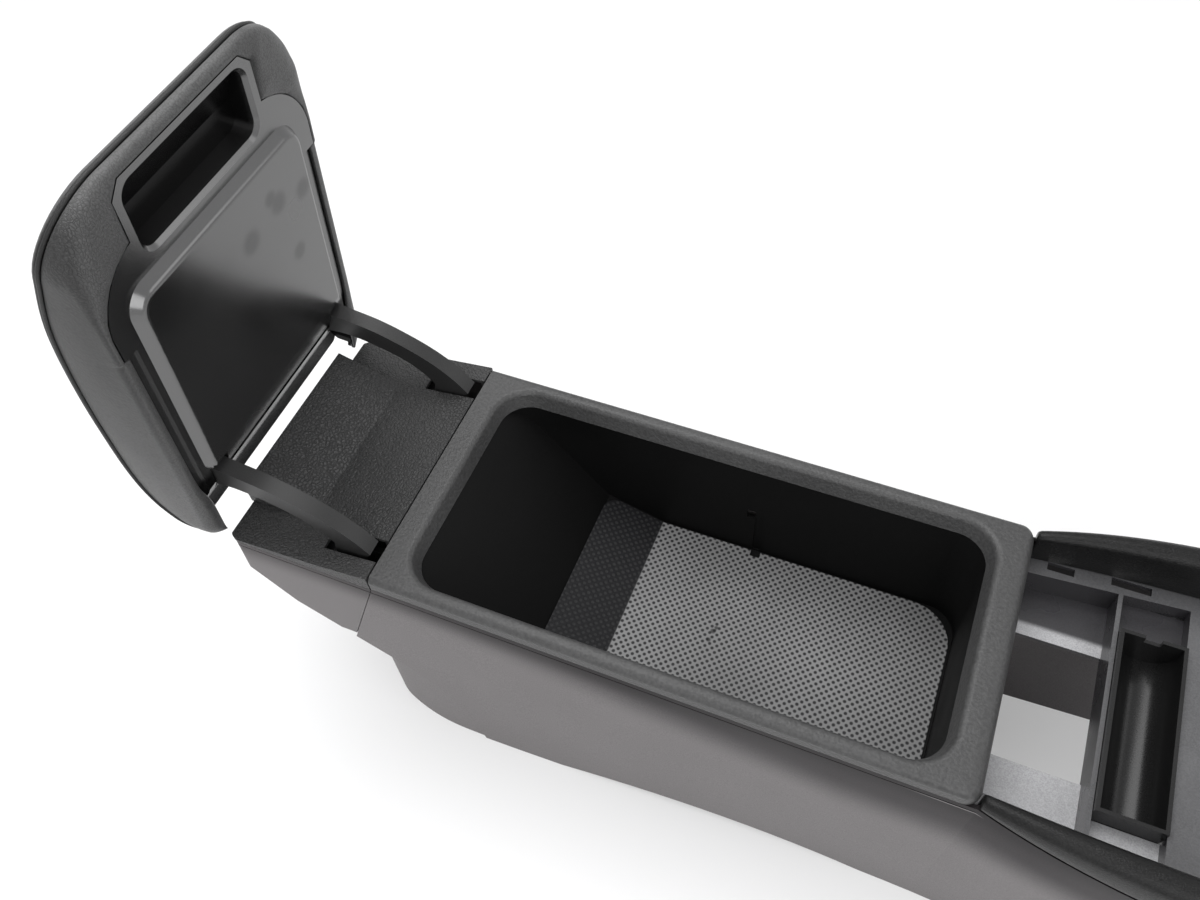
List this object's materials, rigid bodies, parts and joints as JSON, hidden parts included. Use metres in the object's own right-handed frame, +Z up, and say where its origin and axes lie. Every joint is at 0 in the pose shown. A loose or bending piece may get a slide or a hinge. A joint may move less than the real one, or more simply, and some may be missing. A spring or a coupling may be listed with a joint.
{
  "type": "tunnel console",
  "caption": "Car tunnel console: deep open bin with a rubber mat, side panels, a front carrier with padded rails, and a padded armrest lid that swings up on gooseneck arms.",
  "frame": {"origin": "centre of the floor bolt holes, on the floor", "axes": "+X to the front of the car, +Y to its left side, +Z up"},
  "size_m": [0.8141, 0.242, 0.5267],
  "materials": {
    "frame_plastic": "fine stipple on a charcoal moulding",
    "panel_plastic": "smooth satin dark grey with a few specks and a scratch",
    "bin_plastic": "plain near-black moulding",
    "mat_rubber": "grey rubber with staggered dark dots",
    "grained_plastic": "coarse leather grain on a charcoal moulding",
    "carrier_plastic": "satin grey, slightly shiny on its ledges",
    "trough_plastic": "glossy near-black",
    "lid_plastic": "satin charcoal with faint finger marks",
    "lid_cover": "dark leather-like cover with fine wrinkles",
    "piping_cover": "dark sewn piping",
    "rail_cover": "soft dark cover",
    "arm_plastic": "satin black",
    "bush_plastic": "natural pale bearing plastic",
    "bracket_steel": "black-coated pressed steel",
    "plated_steel": "zinc plated"
  },
  "bodies": {
    "console": {"top_frame": "frame_plastic", "storage_bin": "bin_plastic", "bin_mat": "mat_rubber", "frame_screws": "plated_steel", "hinge_cover": "grained_plastic", "rear_shell": "panel_plastic", "rear_lower_cover": "panel_plastic", "hinge_bracket": "bracket_steel", "hinge_shaft": "plated_steel", "shaft_clips": "plated_steel", "front_carrier": "carrier_plastic", "cross_trough": "trough_plastic", "side_panel_left": "panel_plastic", "side_panel_right": "panel_plastic", "front_rail_left": "rail_cover", "front_rail_right": "rail_cover"},
    "lid": {"hinge_bushes": "bush_plastic", "arm_screws": "plated_steel", "lid_pad": "lid_cover", "lid_piping": "piping_cover", "lid_side_band": "lid_cover", "lid_base": "bin_plastic", "lid_inner_panel": "lid_plastic", "hinge_arm_left": "arm_plastic", "hinge_arm_right": "arm_plastic"}
  },
  "joints": [
    {"name": "lid_hinge", "type": "hinge", "parent": "console", "child": "lid", "pos_m": [-0.331, 0, 0.204], "axis": [0, 1, 0], "range_deg": [0, 85]}
  ]
}
